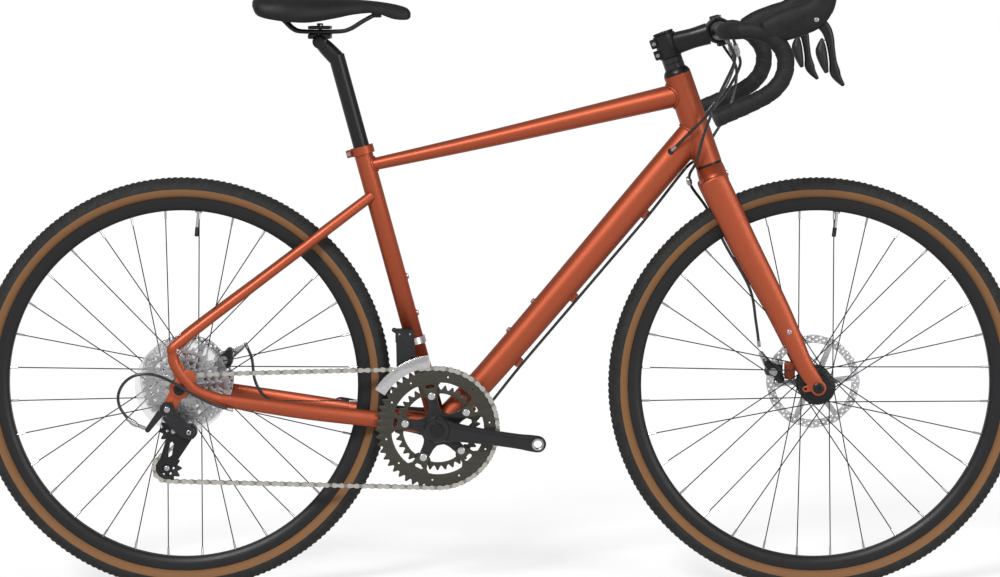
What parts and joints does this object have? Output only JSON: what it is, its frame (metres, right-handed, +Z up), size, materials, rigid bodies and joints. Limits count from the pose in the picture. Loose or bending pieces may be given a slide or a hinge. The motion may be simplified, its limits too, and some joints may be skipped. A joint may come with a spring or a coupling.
{
  "type": "gravel bicycle",
  "caption": "Drop-bar gravel bicycle with knobbly tan-wall tyres, disc brakes, double chainset and a cable rear derailleur.",
  "frame": {"origin": "on the ground, midway between the two wheel axles and in the bicycle's middle plane", "axes": "+X towards the front wheel, +Y to the rider's left, +Z up; the drive side is at -Y"},
  "size_m": [1.771, 0.4734, 1.0402],
  "materials": {
    "copper_paint": "satin metallic",
    "tyre": "knobbly, tan sidewall band",
    "dark_rim": "satin anodised",
    "silver": "bright",
    "ring_grey": "satin anodised",
    "chain_steel": "plated",
    "clear_plastic": "clear",
    "tape": "matt cork tape",
    "hood": "matt",
    "saddle_cover": "matt synthetic",
    "housing": "gloss",
    "black_metal": "satin black anodised"
  },
  "bodies": {
    "frame": {"head_tube": "copper_paint", "top_tube": "copper_paint", "down_tube": "copper_paint", "seat_tube": "copper_paint", "chainstays": "copper_paint", "seatstays": "copper_paint", "seat_collar": "copper_paint", "bottom_bracket_cartridge": "black_metal", "rear_axle": "black_metal", "rear_derailleur_linkage": "black_metal", "front_derailleur_clamp": "silver", "rear_caliper": "black_metal", "chain": "chain_steel", "rear_derailleur_housing": "housing", "rear_brake_housing": "housing", "right_gear_housing": "housing", "left_gear_housing": "housing"},
    "steering": {"fork": "copper_paint", "headset_lower_bearing": "black_metal", "headset_upper_bearing": "black_metal", "steerer_cap": "black_metal", "stem": "black_metal", "stem_faceplate": "black_metal", "handlebar": "black_metal", "right_bar_tape": "tape", "left_bar_tape": "tape", "right_hood": "hood", "left_hood": "hood", "front_axle": "black_metal", "front_caliper": "black_metal", "front_brake_housing": "housing"},
    "front_wheel": {"front_tyre": "tyre", "front_rim": "dark_rim", "front_hub": "black_metal", "front_rotor": "silver"},
    "rear_wheel": {"rear_tyre": "tyre", "rear_rim": "dark_rim", "rear_hub": "black_metal", "rear_rotor": "silver", "spoke_guard": "clear_plastic"},
    "cassette_body": {"cassette": "silver"},
    "crankset": {"crank_spindle": "black_metal", "right_crank": "black_metal", "left_crank": "black_metal", "outer_chainring": "ring_grey", "inner_chainring": "ring_grey"},
    "chain_cage": {"derailleur_cage": "black_metal"},
    "guide_wheel": {"guide_pulley": "black_metal"},
    "tension_wheel": {"tension_pulley": "black_metal"},
    "front_shifter": {"front_derailleur_cage": "silver"},
    "right_lever": {"right_brake_lever": "black_metal"},
    "left_lever": {"left_brake_lever": "black_metal"},
    "right_paddle": {"right_shift_paddle": "black_metal"},
    "left_paddle": {"left_shift_paddle": "black_metal"},
    "front_brake_arm": {"front_caliper_arm": "silver"},
    "rear_brake_arm": {"rear_caliper_arm": "silver"},
    "post": {"seatpost": "black_metal"},
    "saddle_top": {"saddle_clamp": "black_metal", "saddle_rails": "black_metal", "saddle": "saddle_cover"}
  },
  "joints": [
    {"name": "steering_turn", "type": "hinge", "parent": "frame", "child": "steering", "pos_m": [0.35122, 0, 0.72476], "axis": [-0.3338, 0, 0.9426], "range_deg": [-70, 70], "deforming": ["front_brake_housing", "rear_brake_housing", "right_gear_housing", "left_gear_housing"]},
    {"name": "front_wheel_spin", "type": "hinge", "parent": "steering", "child": "front_wheel", "pos_m": [0.5345, 0, 0.351], "axis": [0, 1, 0], "continuous": true},
    {"name": "rear_wheel_spin", "type": "hinge", "parent": "frame", "child": "rear_wheel", "pos_m": [-0.5345, 0, 0.351], "axis": [0, 1, 0], "continuous": true},
    {"name": "crank_spin", "type": "hinge", "parent": "frame", "child": "crankset", "pos_m": [-0.10427, 0, 0.2822], "axis": [0, 1, 0], "continuous": true},
    {"name": "cassette_spin", "type": "hinge", "parent": "frame", "child": "cassette_body", "pos_m": [-0.5345, 0, 0.351], "axis": [0, 1, 0], "continuous": true},
    {"name": "cage_swing", "type": "hinge", "parent": "frame", "child": "chain_cage", "pos_m": [-0.5183, 0, 0.28], "axis": [0, -1, 0], "range_deg": [0, 30], "stiffness_Nm_per_rad": 0.8, "deforming": ["chain"]},
    {"name": "guide_pulley_spin", "type": "hinge", "parent": "chain_cage", "child": "guide_wheel", "pos_m": [-0.5465, 0, 0.279], "axis": [0, 1, 0], "continuous": true},
    {"name": "tension_pulley_spin", "type": "hinge", "parent": "chain_cage", "child": "tension_wheel", "pos_m": [-0.558, 0, 0.2164], "axis": [0, 1, 0], "continuous": true},
    {"name": "front_derailleur_shift", "type": "slide", "parent": "frame", "child": "front_shifter", "axis": [0, 1, 0], "range_m": [-0.0012, 0.0012], "stiffness_N_per_m": 600},
    {"name": "right_lever_pull", "type": "hinge", "parent": "steering", "child": "right_lever", "pos_m": [0.5082, -0.207, 0.9672], "axis": [0, 1, 0], "range_deg": [0, 20], "stiffness_Nm_per_rad": 0.8, "springref_deg": -2.86},
    {"name": "left_lever_pull", "type": "hinge", "parent": "steering", "child": "left_lever", "pos_m": [0.5082, 0.207, 0.9672], "axis": [0, 1, 0], "range_deg": [0, 20], "stiffness_Nm_per_rad": 0.8, "springref_deg": -2.86},
    {"name": "right_paddle_push", "type": "hinge", "parent": "right_lever", "child": "right_paddle", "pos_m": [0.5262, -0.207, 0.94], "axis": [1, 0, 0], "range_deg": [0, 15], "stiffness_Nm_per_rad": 0.3, "springref_deg": -1.72},
    {"name": "left_paddle_push", "type": "hinge", "parent": "left_lever", "child": "left_paddle", "pos_m": [0.5262, 0.207, 0.94], "axis": [-1, 0, 0], "range_deg": [0, 15], "stiffness_Nm_per_rad": 0.3, "springref_deg": -1.72},
    {"name": "front_brake_arm_pull", "type": "hinge", "parent": "steering", "child": "front_brake_arm", "pos_m": [0.4655, 0.0559, 0.368], "axis": [0, 1, 0], "range_deg": [0, 20]},
    {"name": "rear_brake_arm_pull", "type": "hinge", "parent": "frame", "child": "rear_brake_arm", "pos_m": [-0.4705, 0.0686, 0.387], "axis": [0, -1, 0], "range_deg": [0, 20]},
    {"name": "seatpost_height", "type": "slide", "parent": "frame", "child": "post", "axis": [-0.2622, 0, 0.965], "range_m": [-0.05, 0.05]},
    {"name": "saddle_tilt", "type": "hinge", "parent": "post", "child": "saddle_top", "pos_m": [-0.30076, 0, 0.92925], "axis": [0, 1, 0], "range_deg": [-6, 6]}
  ],
  "couplings": [
    {"joint": "cassette_spin", "follows": "crank_spin", "ratio": 4.5455},
    {"joint": "guide_pulley_spin", "follows": "crank_spin", "ratio": -4.5455},
    {"joint": "tension_pulley_spin", "follows": "crank_spin", "ratio": 4.5455},
    {"joint": "front_brake_arm_pull", "follows": "left_lever_pull", "ratio": 1},
    {"joint": "rear_brake_arm_pull", "follows": "right_lever_pull", "ratio": 1}
  ]
}
